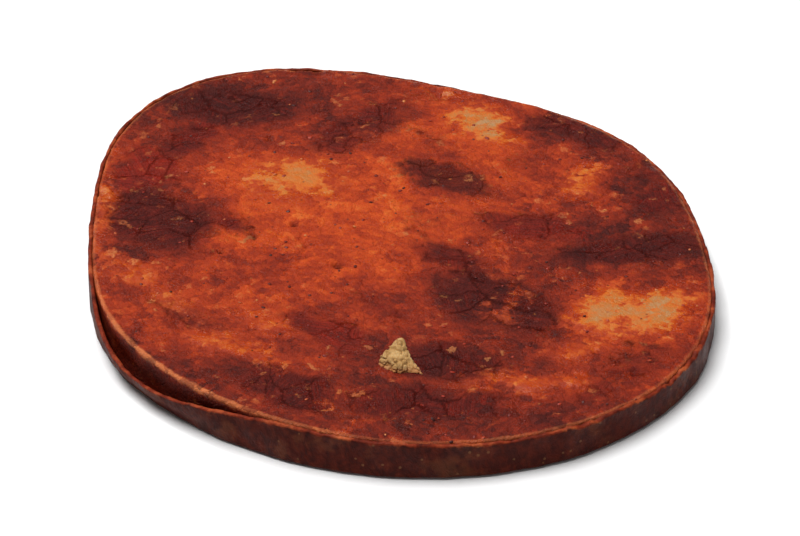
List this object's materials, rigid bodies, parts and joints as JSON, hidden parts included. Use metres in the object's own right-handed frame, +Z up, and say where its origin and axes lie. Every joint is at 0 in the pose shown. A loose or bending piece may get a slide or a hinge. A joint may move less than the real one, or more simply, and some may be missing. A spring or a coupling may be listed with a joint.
{
  "type": "cured sausage slice",
  "caption": "Round, slightly oval slice of dry-cured paprika sausage with marbled fat and lean, skin round its edge and a crumb on top, lying flat on its cut face.",
  "frame": {"origin": "middle of the lower cut face, at the bottom centre of the slice's box", "axes": "+Z up through the slice's thickness, +Y along its longer way across, +X along its shorter way, from its thick end to its thin end"},
  "size_m": [0.042, 0.048, 0.0042],
  "materials": {
    "cured_meat": "moist, fatty cut face: paprika-red with dark lean, orange and cream fat",
    "casing_skin": "thin, dry, wrinkled skin, dark red-brown with dusty patches",
    "dry_crumb": "dry, matt, pale yellow"
  },
  "bodies": {
    "root": {"meat": "cured_meat", "casing": "casing_skin", "crumb": "dry_crumb"}
  },
  "joints": []
}
